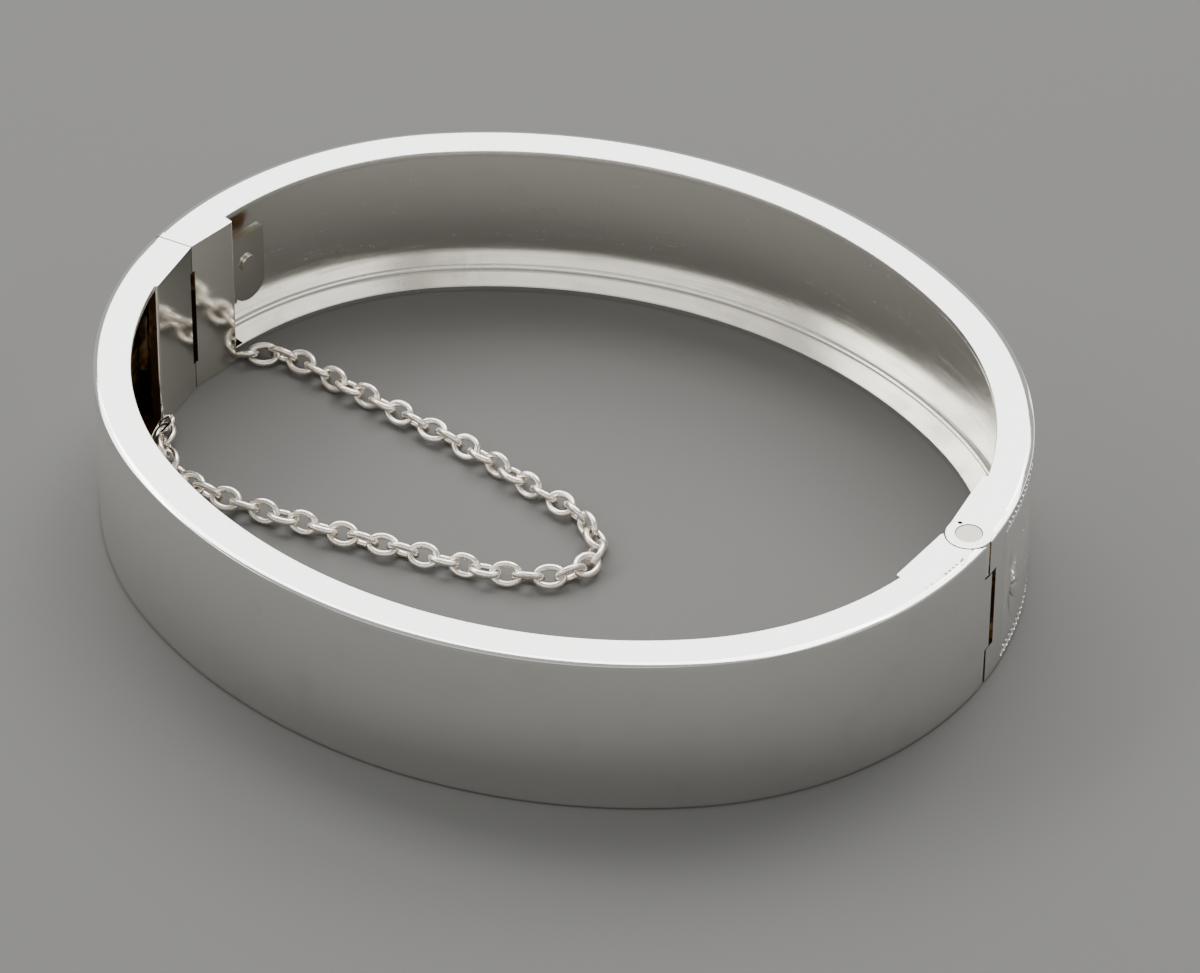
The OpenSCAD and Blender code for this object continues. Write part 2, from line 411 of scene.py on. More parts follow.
def stand(piece: Piece, side: int, arc: Arc, angle: float) -> None:
    """Moves a section drawn in the XZ plane, with the outside at x = 0, to an angle on an arc."""
    hold(piece)
    x = arc.centre[0] + arc.radius * math.cos(angle)
    y = arc.centre[1] + arc.radius * math.sin(angle)
    piece.location = (x, side * y, 0)
    piece.rotation_euler = (0, 0, side * angle)
    settle(piece)


def upright(name: str, depth: tuple, height: tuple) -> Piece:
    """A flat rectangle in the XZ plane, from one depth under the outside to another."""
    middle = (-sum(depth) / 2, 0, sum(height) / 2)
    bpy.ops.mesh.primitive_plane_add(size=1, rotation=(math.pi / 2, 0, 0), location=middle)
    piece = bpy.context.object
    piece.name = name
    piece.scale = (depth[1] - depth[0], height[1] - height[0], 1)
    return settle(piece)


# Finishes


class Graph:
    """Short way to lay out nodes: each call adds one node, sets its sockets and returns it."""

    def __init__(self, tree: Tree) -> None:
        """Takes over an empty node tree."""
        self.tree = tree

    def add(self, kind: str, sockets: dict | None = None, **settings: object) -> bpy.types.Node:
        """Adds a node.

        Args:
            kind: the node's type.
            sockets: input name or number to a value or to another node's output.
            settings: the node's own settings.

        Returns:
            The new node.
        """
        node = self.tree.nodes.new(kind)
        for name, value in settings.items():
            setattr(node, name, value)
        for name, value in (sockets or {}).items():
            if isinstance(value, Socket):
                self.tree.links.new(value, node.inputs[name])
            else:
                node.inputs[name].default_value = value
        return node

    def maths(self, how: str, a: object, b: object = 0.0, c: object = 0.0) -> Socket:
        """A Math node's result."""
        return self.add("ShaderNodeMath", {0: a, 1: b, 2: c}, operation=how).outputs[0]

    def ramp(self, value: object, low: float, high: float, start: float = 0.0, end: float = 1.0) -> object:
        """A value eased from start to end as it goes from low to high."""
        sockets = {"Value": value, "From Min": low, "From Max": high, "To Min": start, "To Max": end}
        return self.add("ShaderNodeMapRange", sockets, interpolation_type="SMOOTHSTEP").outputs[0]

    def more(self, base: object, value: object, share: float) -> Socket:
        """A base with a share of a value added to it."""
        return self.maths("MULTIPLY_ADD", value, share, base)

    def blend(self, share: object, a: object, b: object) -> Socket:
        """A colour between a and b."""
        return self.add("ShaderNodeMix", {0: share, 6: a, 7: b}, data_type="RGBA").outputs[2]

    def distance(self, a: object, b: object) -> Socket:
        """How far apart two points lie."""
        return self.add("ShaderNodeVectorMath", {0: a, 1: b}, operation="DISTANCE").outputs[1]

    def mapped(self, place: object, stretch: tuple, turn: tuple = (0, 0, 0)) -> Socket:
        """A place turned and stretched."""
        sockets = {"Vector": place, "Rotation": turn, "Scale": stretch}
        return self.add("ShaderNodeMapping", sockets).outputs[0]

    def noise(self, place: object, scale: object, detail: float, rough: float = 0.5) -> Socket:
        """A cloudy value between 0 and 1."""
        sockets = {"Vector": place, "Scale": scale, "Detail": detail, "Roughness": rough}
        return self.add("ShaderNodeTexNoise", sockets).outputs[0]

    def group(self, tree: Tree, **sockets: object) -> object:
        """Places a shared effect with these values in its sockets, and returns its outputs."""
        return self.add("ShaderNodeGroup", sockets, node_tree=tree).outputs


def effect(name: str, inputs: dict, outputs: list) -> tuple:
    """Starts a shared effect as a node group.

    Args:
        name: the group's name.
        inputs: socket name to its type and default value.
        outputs: names of the values that it puts out.

    Returns:
        The group, its graph, what it is given and where its values go.
    """
    tree = bpy.data.node_groups.new(name, "ShaderNodeTree")
    for socket, (kind, value) in inputs.items():
        made = tree.interface.new_socket(name=socket, in_out="INPUT", socket_type=kind)
        if value is not None:
            made.default_value = value
    for socket in outputs:
        tree.interface.new_socket(name=socket, in_out="OUTPUT", socket_type="NodeSocketFloat")
    graph = Graph(tree)
    return tree, graph, graph.add("NodeGroupInput").outputs, graph.add("NodeGroupOutput").inputs


VECTOR, FLOAT = "NodeSocketVector", "NodeSocketFloat"


def tarnish_effect() -> Tree:
    """Cloudy tarnish: a mask of soft patches."""
    inputs = {"Place": (VECTOR, None), "Scale": (FLOAT, 300.0), "Cover": (FLOAT, 0.5)}
    tree, graph, given, out = effect("Tarnish", inputs, ["Mask"])
    bare, softness = 0.78, 0.22
    cloud = graph.noise(given["Place"], given["Scale"], 6.0, 0.62)
    edge = graph.maths("SUBTRACT", bare, graph.maths("MULTIPLY", given["Cover"], 0.5))
    mask = graph.ramp(cloud, edge, graph.maths("ADD", edge, softness))
    tree.links.new(mask, out["Mask"])
    return tree


def hairline_effect() -> Tree:
    """Hairline scratches from wear: a height and a mask of thin lines in two directions."""
    inputs = {"Place": (VECTOR, None), "Scale": (FLOAT, 500.0), "Amount": (FLOAT, 0.5)}
    tree, graph, given, out = effect("Hairlines", inputs, ["Height", "Mask"])
    none, full = 0.62, 0.76
    layers = []
    for turn, stretch in (((0.2, 0.5, 0.3), (1.0, 14.0, 9.0)), ((1.1, -0.4, 0.9), (11.0, 1.0, 16.0))):
        turned = graph.mapped(given["Place"], stretch, turn)
        layers.append(graph.ramp(graph.noise(turned, given["Scale"], 3.0), none, full))
    both = graph.maths("MAXIMUM", *layers)
    mask = graph.maths("MULTIPLY", both, given["Amount"])
    tree.links.new(mask, out["Mask"])
    tree.links.new(graph.maths("MULTIPLY", mask, -1.0), out["Height"])
    return tree


def grain_effect() -> Tree:
    """Fine grain of worked metal: a height with broad soft dents under it."""
    scales = {"Fine": (FLOAT, 9000.0), "Broad": (FLOAT, 260.0)}
    inputs = {"Place": (VECTOR, None), **scales, "Dents": (FLOAT, 0.5)}
    tree, graph, given, out = effect("Grain", inputs, ["Height"])
    fine_share = 0.12
    fine = graph.noise(given["Place"], given["Fine"], 2.0)
    broad = graph.noise(given["Place"], given["Broad"], 1.5)
    dents = graph.maths("MULTIPLY", broad, given["Dents"])
    tree.links.new(graph.more(dents, fine, fine_share), out["Height"])
    return tree


def pit_effect() -> Tree:
    """Sparse pits: a mask of small round holes."""
    shares = {"Size": (FLOAT, 0.12), "Share": (FLOAT, 0.2)}
    inputs = {"Place": (VECTOR, None), "Scale": (FLOAT, 700.0), **shares}
    tree, graph, given, out = effect("Pits", inputs, ["Mask"])
    cells = graph.add("ShaderNodeTexVoronoi", {"Vector": given["Place"], "Scale": given["Scale"]})
    sockets = {"Value": cells.outputs["Distance"], "From Min": given["Size"], "From Max": 0.0}
    near = graph.add("ShaderNodeMapRange", sockets)
    split = graph.add("ShaderNodeSeparateColor", {0: cells.outputs["Color"]})
    kept = graph.maths("LESS_THAN", split.outputs[0], given["Share"])
    tree.links.new(graph.maths("MULTIPLY", near.outputs[0], kept), out["Mask"])
    return tree


@dataclass
class Effects:
    """The shared effects, each built once."""

    tarnish: Tree = field(default_factory=tarnish_effect)
    hairlines: Tree = field(default_factory=hairline_effect)
    grain: Tree = field(default_factory=grain_effect)
    pits: Tree = field(default_factory=pit_effect)


@dataclass(frozen=True)
class Weights:
    """How strongly each kind of mark changes the roughness, the tone and the bump's height."""

    hairline_rough: float = 0.16
    hairline_height: float = 0.5
    tarnish_rough: float = 0.5
    pit_tone: float = 0.8
    pit_height: float = -2.0
    streak_rough: float = 0.1
    line_height: float = -0.6
    cut_rough: float = 0.12
    stain_rough: float = 0.2


WEIGHTS = Weights()


@dataclass(frozen=True)
class Silver:
    """A finish of sterling silver.

    Attributes:
        name: the material's name.
        colour: the clean metal.
        dark_tone: the colour that tarnish and cuts go towards; in the clasp's pocket, near black, it is
            painted shade.
        rough: roughness where it is clean.
        scratch: strength of the hairlines.
        dents: strength of the broad dents.
        cloud: how strong the tarnish shows; in the clasp's pocket it mostly shows painted shade.
        cover: how much of the surface the tarnish covers.
        relief: height of the bump, in metres.
        cut_tone: how much the cuts darken, on pieces that mark them.
        line_tone: how much the solder line along the rims shows.
        pit_share: share of cells that hold a pit.
        streak: how much faint streaks along the band show.
        stain: how strong the brown stain above the tongue's leaf shows.
    """

    name: str
    colour: tuple = (0.93, 0.92, 0.895)
    dark_tone: tuple = (0.42, 0.36, 0.29)
    rough: float = 0.06
    scratch: float = 0.35
    dents: float = 0.35
    cloud: float = 0.1
    cover: float = 0.5
    relief: float = 0.004 * MM
    cut_tone: float = 0.0
    line_tone: float = 0.0
    pit_share: float = 0.0
    streak: float = 0.0
    stain: float = 0.0

    def make(self, effects: Effects) -> bpy.types.Material:
        """Builds the material.

        Args:
            effects: the shared effects.

        Returns:
            The new material.
        """
        material = bpy.data.materials.new(self.name)
        material.use_nodes = True
        material.node_tree.nodes.clear()
        graph = Graph(material.node_tree)
        place = graph.add("ShaderNodeTexCoord").outputs["Object"]
        tarnish = graph.group(effects.tarnish, Place=place, Cover=self.cover)
        hairlines = graph.group(effects.hairlines, Place=place, Amount=self.scratch)
        grain = graph.group(effects.grain, Place=place, Dents=self.dents)
        w = WEIGHTS
        shade = graph.maths("MULTIPLY", tarnish["Mask"], self.cloud)
        rough = graph.more(self.rough, hairlines["Mask"], w.hairline_rough)
        rough = graph.more(rough, shade, w.tarnish_rough)
        height = graph.more(grain["Height"], hairlines["Height"], w.hairline_height)
        if self.pit_share:
            pits = graph.group(effects.pits, Place=place, Share=self.pit_share)["Mask"]
            shade = graph.maths("MAXIMUM", shade, graph.maths("MULTIPLY", pits, w.pit_tone))
            height = graph.more(height, pits, w.pit_height)
        if self.streak:
            faint = self.streaks(graph, place)
            shade = graph.more(shade, faint, self.streak)
            rough = graph.more(rough, faint, w.streak_rough)
        if self.line_tone:
            line = self.solder_line(graph, place)
            shade = graph.more(shade, line, self.line_tone)
            height = graph.more(height, line, w.line_height)
        if self.cut_tone:
            cut = graph.add("ShaderNodeAttribute", attribute_name="cut").outputs["Fac"]
            deep = graph.ramp(cut, 0.15, 0.9)
            shade = graph.more(shade, deep, self.cut_tone)
            rough = graph.more(rough, deep, w.cut_rough)
        shade = graph.maths("MINIMUM", shade, 1.0)
        colour = graph.blend(shade, (*self.colour, 1), (*self.dark_tone, 1))
        if self.stain:
            patch = graph.maths("MULTIPLY", self.stain_patch(graph, place), self.stain)
            colour = graph.blend(patch, colour, (*STAIN_BROWN, 1))
            rough = graph.more(rough, patch, w.stain_rough)
        bump = graph.add("ShaderNodeBump", {"Strength": 1.0, "Distance": self.relief, "Height": height})
        shader = graph.add("ShaderNodeBsdfPrincipled", {
            "Base Color": colour, "Metallic": 1.0, "Roughness": rough, "Normal": bump.outputs[0],
        })
        graph.add("ShaderNodeOutputMaterial", {"Surface": shader.outputs[0]})
        return material

    def streaks(self, graph: Graph, place: Socket) -> Socket:
        """Mask of faint streaks along the band."""
        along = graph.mapped(place, (1.0, 1.0, 16.0))
        return graph.ramp(graph.noise(along, 170.0, 4.0, 0.6), 0.45, 0.75)

    def solder_line(self, graph: Graph, place: Socket) -> Socket:
        """Mask of the broken solder line by the hinge, where the plain half's rims meet its wall.

        Args:
            graph: the material's graph.
            place: the object coordinates.

        Returns:
            The mask.
        """
        inset, soft, core = 0.62 * MM, 0.13 * MM, 0.05 * MM
        at_hinge, at_far_end = (-1.9 * MM, -2.6 * MM), (-9.5 * MM, -5.5 * MM)
        parts = graph.add("ShaderNodeSeparateXYZ", {0: place}).outputs
        flat = graph.add("ShaderNodeCombineXYZ", {0: parts[0], 1: parts[1]}).outputs[0]
        reach = graph.distance(flat, (OVAL.end_cx, 0, 0))
        off = graph.maths("ABSOLUTE", graph.maths("SUBTRACT", reach, OVAL.end_r - inset))
        line = graph.ramp(off, soft, core)
        bits = graph.ramp(graph.noise(place, 2600.0, 1.0), 0.5, 0.54)
        span = graph.maths("MULTIPLY", graph.ramp(parts[1], *at_hinge), graph.ramp(parts[1], *at_far_end))
        return graph.maths("MULTIPLY", graph.maths("MULTIPLY", line, bits), span)

    def stain_patch(self, graph: Graph, place: Socket) -> Socket:
        """Mask of the ragged brown stain on the wall, in the hollow above the tongue's leaf."""
        ragged = graph.more(graph.distance(place, STAIN_AT), graph.noise(place, 1100.0, 3.0), 0.9 * MM)
        return graph.ramp(ragged, 1.9 * MM, 0.9 * MM)


STAIN_AT = (-30.5 * MM, 9.1 * MM, 9.8 * MM)
STAIN_BROWN = (0.3, 0.15, 0.045)
POLISHED = Silver("polished_silver", colour=(0.88, 0.87, 0.835))
RIM = Silver(
    "rim_silver", dark_tone=(0.16, 0.13, 0.1), rough=0.2, scratch=0.4, dents=0.2, cloud=0.04, line_tone=0.95,
    pit_share=0.03,
)
PIT = Silver("pit_silver", colour=(0.09, 0.06, 0.04), rough=0.6, cloud=0.5)
INSIDE = Silver(
    "inside_silver", colour=(0.93, 0.9, 0.84), rough=0.17, scratch=0.4, dents=0.4, cloud=0.08, streak=0.12,
    stain=0.9,
)
FLANGE = Silver(
    "flange_silver", colour=(0.93, 0.9, 0.825), rough=0.22, scratch=0.4, dents=0.5, cloud=0.1, streak=0.1,
)
PLATE = Silver("plate_silver", colour=(0.86, 0.83, 0.76), rough=0.1, scratch=0.4, dents=0.4, cloud=0.1)
# Inside the clasp's box and its slots the amber is tarnish, but the near-black tone that covers almost all
# of it is painted shade in the box's hollow.
POCKET = Silver(
    "pocket_tarnish_and_shade", colour=(0.5, 0.27, 0.09), dark_tone=(0.035, 0.014, 0.005), rough=0.4, cloud=0.97,
    cover=0.98,
)
TONGUE = Silver("tongue_silver", colour=(0.74, 0.7, 0.63), rough=0.14, scratch=0.5, cloud=0.25)
ENGRAVED = Silver("engraved_silver", rough=0.07, scratch=0.3, cut_tone=0.65)
PIN = Silver("pin_silver", colour=(0.5, 0.48, 0.43), rough=0.36, scratch=0.7, cloud=0.3, pit_share=0.15)
CHAIN = Silver(
    "chain_silver", colour=(0.95, 0.89, 0.81), rough=0.24, scratch=0.15, cloud=0.1, cover=0.75,
    relief=0.0015 * MM,
)


@dataclass
class Finishes:
    """Every finish, made once."""

    effects: Effects = field(default_factory=Effects)
    made: dict = field(default_factory=dict)

    def of(self, finish: Silver) -> bpy.types.Material:
        """The material of a finish."""
        if finish.name not in self.made:
            self.made[finish.name] = finish.make(self.effects)
        return self.made[finish.name]


# The two halves


class Coat(IntEnum):
    """Numbers of a half's materials."""

    OUTSIDE = 0
    RIM = 1
    INSIDE = 2
    PLATE = 3
    # The clasp's box: amber tarnish, with painted shade in near black over most of it.
    POCKET = 4
    FLANGE = 5
    PIT = 6


COATS = {
    Coat.OUTSIDE: POLISHED,
    Coat.RIM: RIM,
    Coat.INSIDE: INSIDE,
    Coat.PLATE: PLATE,
    Coat.POCKET: POCKET,
    Coat.FLANGE: FLANGE,
    Coat.PIT: PIT,
}


@dataclass
class Half:
    """One half of the band: a channel of sheet silver with its end plates.

    Attributes:
        name: the piece's name.
        node: the solid that it stands for.
        slot: the name of a slot; not used.
        side: 1 for the engraved half at +Y, -1 for the plain half at -Y.
        lead: how far before the long axis the sweep starts and ends, as an angle in radians.
        steps: faces along each arc.
        end_long: how far along the oval its plates can lie from its ends.
        end_wide: how far across.
        pocket_deep: the depth from the outside up to which an end's inside is the pocket.
        skin: the depth up to which a face is the outside.
    """

    name: str
    node: str
    slot: str
    side: int
    lead: tuple
    steps: tuple = (56, 90, 56)
    end_long: float = 6 * MM
    end_wide: float = 7.6 * MM
    pocket_deep: float = 2.35 * MM
    skin: float = 0.12 * MM

    def section(self) -> Piece:
        """The channel's cross-section as flat faces in the XZ plane."""
        s = SIZES
        half = s.band_h / 2
        piece = upright(self.name, (0, s.sheet), (0, s.band_h))
        for z in (s.sheet, s.band_h - s.sheet):
            pick(piece, Kind.FACE)
            bpy.ops.mesh.bisect(plane_co=(0, 0, z), plane_no=(0, 0, 1))
        pick(piece, Kind.EDGE, lambda x, y, z: (abs(x + s.sheet) < TINY) & (abs(z - half) > half - s.sheet))
        bpy.ops.mesh.extrude_region_move(TRANSFORM_OT_translate={"value": (s.sheet - s.rim, 0, 0)})
        pick(piece, Kind.VERT, lambda x, y, z: (abs(x) < TINY) & (abs(z - half) > half - TINY))
        bpy.ops.mesh.bevel(offset=s.facet_w, segments=1, affect="VERTICES")
        pick(piece, Kind.VERT, lambda x, y, z: (abs(x) < TINY) & (abs(z - half) > half - s.facet_w - TINY))
        steeper = (half - s.facet_h) / (half - s.facet_w)
        bpy.ops.transform.resize(value=(1, 1, steeper), center_override=(0, 0, half))
        beside, above = -s.facet_w - TINY, half - s.facet_h - TINY
        pick(piece, Kind.VERT, lambda x, y, z: (x > beside) & (abs(z - half) > above))
        bpy.ops.mesh.bevel(offset=s.turn, segments=3, affect="VERTICES")
        pick(piece, Kind.VERT, lambda x, y, z: abs(x + s.rim) < TINY)
        bpy.ops.mesh.bevel(offset=s.lip, segments=3, affect="VERTICES")
        return piece

    def sweep(self) -> Piece:
        """Spins the section round the three arcs and rounds the corners inside the channel."""
        s = SIZES
        first, middle, last = OVAL.arcs
        piece = self.section()
        stand(piece, self.side, first, self.lead[0])
        pick(piece, Kind.FACE)
        spin_along(piece, self.side, [
            (first, self.lead[0], first.end, self.steps[0]),
            (middle, middle.start, middle.end, self.steps[1]),
            (last, last.start, last.end - self.lead[1], self.steps[2]),
        ])
        close_up(piece)
        half = s.band_h / 2

        def in_corner(x: Array, y: Array, z: Array) -> Array:
            """Edges along the channel's two inner corners."""
            depth = OVAL.locate(np.stack([x, y, z], 1))[1]
            return (abs(depth - s.sheet) < NEAR) & (abs(abs(z - half) - half + s.sheet) < TINY)

        pick(piece, Kind.EDGE, in_corner)
        bpy.ops.mesh.bevel(offset=s.fillet, segments=6, affect="EDGES")
        to_mode("OBJECT")
        return piece

    def plate(
        self, side: int, y0: float, y1: float, depth0: float, depth1: float, turn: float = SIZES.plate_turn,
    ) -> Piece:
        """Flat plate across the inside of the channel.

        Args:
            side: 1 at the hinge and -1 at the clasp.
            y0: where it starts.
            y1: where it ends.
            depth0: its depth from the outside at its start.
            depth1: its depth at its end.
            turn: how much its upright edges at the start are rounded.

        Returns:
            The plate.
        """
        a = OVAL.end_point(side, depth0, y0)
        b = OVAL.end_point(side, depth1, y1)
        out = -1 if (y1 > y0) == (side > 0) else 1
        piece = plank(a, b, out * SIZES.plate_t, 0, SIZES.band_h)
        half = SIZES.band_h / 2
        for at_start, offset in ((True, turn), (False, SIZES.plate_turn)):
            pick(piece, Kind.EDGE, lambda x, y, z: (
                (abs(z - half) < TINY) & ((abs(y - y0) < abs(y - y1)) == at_start)
            ))
            bpy.ops.mesh.bevel(offset=offset, segments=4, affect="EDGES")
        round_edges(piece, SIZES.lip, 2)
        return piece

    def cut_clasp(self, piece: Piece, seam: float, window_far: float) -> None:
        """Cuts this half's share of the clasp's window and of the thumbnail slot.

        Args:
            piece: the half's mesh.
            seam: where the half ends.
            window_far: how far in from the outside the window ends.
        """
        s = SIZES
        middle = s.band_h / 2
        near = -OVAL.reach + s.window_at
        for half, deep, x0, x1 in (
            (s.window_half, s.window_in, near, -OVAL.reach + window_far),
            (s.slot_half, s.slot_in, near - s.slot_more, near + FAR),
        ):
            y0, y1 = sorted((seam - self.side * OVER, seam + self.side * deep))
            work(piece, block((x0, y0, middle - half), (x1, y1, middle + half)), Join.CUT)

    def dress(self, piece: Piece, finishes: Finishes) -> None:
        """Gives each face its finish: rims, polished outside, inside, plates and the clasp's box, whose
        near-black tone is painted shade.

        Args:
            piece: the finished shell.
            finishes: where the materials come from.
        """
        s = SIZES
        for coat in Coat:
            piece.data.materials.append(finishes.of(COATS[coat]))
        faces = piece.data.polygons
        normals = np.empty(len(faces) * 3, np.float32)
        faces.foreach_get("normal", normals)
        up = normals.reshape(-1, 3)[:, 2]
        middles = middles_of(piece, Kind.FACE)
        x, y, z = middles.T
        d = OVAL.locate(middles)[1]
        further = OVAL.locate(middles + normals.reshape(-1, 3) * 0.1 * MM)[1]
        outward = d - further > 0.06 * MM
        level, sloping, steep = abs(up) > 0.98, abs(up) > 0.3, abs(up) < 0.5
        index = np.full(len(faces), int(Coat.INSIDE))
        index[sloping & (z < s.sheet + s.fillet)] = Coat.FLANGE
        end = (abs(x) > OVAL.reach - self.end_long) & (abs(y) < self.end_wide)
        index[end] = Coat.PLATE
        # Inside the clasp's box: amber tarnish under a near-black painted shade.
        index[end & (d < self.pocket_deep)] = Coat.POCKET
        from_pin = np.hypot(x - PIN_AT[0], y - PIN_AT[1])
        index[from_pin < s.bore_r + NEAR] = Coat.PLATE
        barrel = abs(from_pin - s.knuckle_r) < 0.03 * MM
        index[(d < self.skin) & outward] = Coat.OUTSIDE
        index[barrel & end & steep] = Coat.RIM
        near_rim = abs(z - s.band_h / 2) > s.band_h / 2 - s.facet_h - NEAR
        index[near_rim & sloping] = Coat.OUTSIDE
        index[near_rim & level] = Coat.RIM
        in_pit = np.hypot(x - PIT_AT[0], y - PIT_AT[1]) < 0.24 * MM
        index[in_pit & (z > s.band_h - 0.4 * MM) & (z < s.band_h - 0.005 * MM)] = Coat.PIT
        faces.foreach_set("material_index", index.astype(np.int32))

    def build(self, finishes: Finishes) -> Piece:
        piece = self.shape()
        smooth(piece)
        self.dress(piece, finishes)
        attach(piece, "root")
        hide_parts(self.node)
        log.info("%s: %d faces", self.name, len(piece.data.polygons))
        return piece

    def shape(self) -> Piece:
        """The half's mesh: each kind of half makes its own."""
        raise NotImplementedError


@dataclass(frozen=True)
class Eye:
    """Ring soldered to a half for the chain.

    Attributes:
        centre: the ring's centre.
        heading: the chain's direction there, in degrees.
        roll: how far the ring is rolled about that direction, in degrees.
        radius: radius of the ring's middle.
        wire: the wire's diameter.
    """

    centre: tuple
    heading: float
    roll: float
    radius: float = 0.7 * MM
    wire: float = 0.44 * MM

    def shape(self) -> Piece:
        """The ring's mesh."""
        bpy.ops.mesh.primitive_torus_add(
            major_segments=40, minor_segments=14, major_radius=self.radius, minor_radius=self.wire / 2,
        )
        piece = bpy.context.object
        heading = Matrix.Rotation(math.radians(self.heading), 4, "Z")
        roll = Matrix.Rotation(math.radians(self.roll), 4, "X")
        piece.matrix_world = Matrix.Translation(self.centre) @ (heading @ roll)
        return settle(piece)


@dataclass
class PlainHalf(Half):
    """The plain half at -Y, with the hinge's middle knuckle and the clasp's box.

    Attributes:
        ring: the chain's ring at the clasp plate.
    """

    name: str = "plain_shell"
    node: str = "plain_half"
    slot: str = "plain_silver"
    side: int = -1
    lead: tuple = (math.radians(1.0), math.radians(-7.0))
    ring: Eye = Eye((-29.5 * MM, -3.6 * MM, 0.725 * MM), 115, -45)

    def shape(self) -> Piece:
        """Sweeps the channel, adds what is soldered to it and cuts the hinge and the clasp."""
        s = SIZES
        seam = s.seam_off - s.seam_half
        top = s.band_h - s.knuckle_h
        reach = OVAL.reach
        piece = self.sweep()
        wall_end = -1.05 * MM
        work(piece, block((0, wall_end, -OVER), (reach + FAR, FAR, s.band_h + OVER)), Join.CUT)
        notch = -s.pin_off - 0.66 * MM
        for part in (
            self.plate(1, notch, notch - 5.44 * MM, depth0=3.22 * MM, depth1=2.95 * MM, turn=0.36 * MM),
            self.plate(-1, s.seam_off + 1 * MM, s.seam_off - 5 * MM, depth0=2.75 * MM, depth1=2.8 * MM),
            self.filling(1, -s.pin_off - 3.2 * MM, -s.pin_off, 3 * MM),
            self.filling(-1, seam - 0.5 * MM, s.seam_off + 1 * MM, 2.5 * MM),
            rod(PIN_AT, s.knuckle_r, s.knuckle_h + s.hinge_gap, top - s.hinge_gap, s.turn),
            self.ring.shape(),
        ):
            work(piece, part, Join.ADD)
        clear = s.knuckle_r + s.hinge_gap
        for low, high in ((-OVER, s.knuckle_h + s.hinge_gap), (top - s.hinge_gap, s.band_h + OVER)):
            work(piece, rod(PIN_AT, clear, low, high), Join.CUT)
            work(piece, block((PIN_AT[0] - FAR / 2, notch, low), (PIN_AT[0] + FAR, FAR, high)), Join.CUT)
        work(piece, rod(PIN_AT, s.bore_r, -OVER, s.band_h + OVER), Join.CUT)
        work(piece, block((-reach - OVER, seam, -OVER), (-reach + FAR, FAR, s.band_h + OVER)), Join.CUT)
        self.cut_clasp(piece, seam, 1.5 * MM)
        return piece

    def filling(self, side: int, y0: float, y1: float, depth: float) -> Piece:
        """Solid metal behind a plate, out to the wall."""
        outer = OVAL.end_cx + math.sqrt((OVAL.end_r - SIZES.sheet / 2) ** 2 - max(y0 * y0, y1 * y1))
        inner = OVAL.end_cx + math.sqrt((OVAL.end_r - depth) ** 2 - min(y0 * y0, y1 * y1))
        xs = sorted((side * outer, side * inner))
        return block((xs[0], min(y0, y1), 0), (xs[1], max(y0, y1), SIZES.band_h))


@dataclass
class EngravedHalf(Half):
    """The engraved half at +Y, with the upper and lower knuckles and a bed for the engraved panel.

    Attributes:
        ring: the chain's ring at the clasp plate.
    """

    name: str = "engraved_shell"
    node: str = "engraved_half"
    slot: str = "engraved_silver"
    side: int = 1
    lead: tuple = (math.radians(-4.5), math.radians(1.0))
    ring: Eye = Eye((-28.2 * MM, 5.9 * MM, 0.725 * MM), 33, -45)

    def shape(self) -> Piece:
        """Sweeps the channel, adds what is soldered to it and cuts the hinge and the clasp."""
        s = SIZES
        seam = s.seam_off + s.seam_half
        top = s.band_h - s.knuckle_h
        reach = OVAL.reach
        piece = self.sweep()
        work(piece, block((0, -FAR, -OVER), (reach + FAR, -s.pin_off, s.band_h + OVER)), Join.CUT)
        clasp_y = s.seam_off - 1 * MM
        for part in (
            self.plate(1, -s.pin_off, 4.6 * MM, depth0=3.24 * MM, depth1=2.95 * MM),
            self.plate(-1, clasp_y, s.seam_off + 3.9 * MM, depth0=2.6 * MM, depth1=3.35 * MM),
            block((reach - 3.2 * MM, -s.pin_off, 0), (reach - 0.4 * MM, 1.8 * MM, s.band_h)),
            block((-reach + 0.4 * MM, clasp_y, 0), (-reach + 2.7 * MM, seam + 0.5 * MM, s.band_h)),
            rod(PIN_AT, s.knuckle_r, 0, s.band_h, s.turn),
            self.ring.shape(),
        ):
            work(piece, part, Join.ADD)
        clear = s.knuckle_r + s.hinge_gap
        work(piece, rod(PIN_AT, clear, s.knuckle_h, top), Join.CUT)
        slot = block((PIN_AT[0] - FAR / 2, -FAR, s.knuckle_h), (PIN_AT[0] + FAR, -0.45 * MM, top))
        work(piece, slot, Join.CUT)
        beyond = block((-reach - OVER, seam - FAR, -OVER), (-reach + FAR, seam, s.band_h + OVER))
        work(piece, beyond, Join.CUT)
        self.cut_clasp(piece, seam, 1.7 * MM)
        work(piece, self.bed(), Join.CUT)
        work(piece, self.pit(), Join.CUT)
        work(piece, rod(PIN_AT, s.bore_r, -OVER, s.band_h + OVER), Join.CUT)
        return piece

    def bed(self) -> Piece:
        """Shallow bed in the outside that the engraved panel fills."""
        s = SIZES
        piece = upright("bed", (-0.5 * MM, s.bed_deep), (s.bed_in, s.band_h - s.bed_in))
        first, middle, last = OVAL.arcs
        stand(piece, self.side, first, PANEL.start)
        pick(piece, Kind.FACE)
        spin_along(piece, self.side, [
            (first, PANEL.start, first.end, self.steps[0]),
            (middle, middle.start, middle.end, self.steps[1]),
            (last, last.start, PANEL.end, self.steps[2]),
        ])
        close_up(piece)
        return piece

    def pit(self) -> Piece:
        """Small pit in the top knuckle beside the pin."""
        bpy.ops.mesh.primitive_uv_sphere_add(segments=20, ring_count=12, radius=0.17 * MM)
        piece = bpy.context.object
        piece.location = (*PIT_AT, SIZES.band_h - 0.04 * MM)
        piece.scale = (1.1, 0.85, 1.2)
        return settle(piece)


# The engraved panel


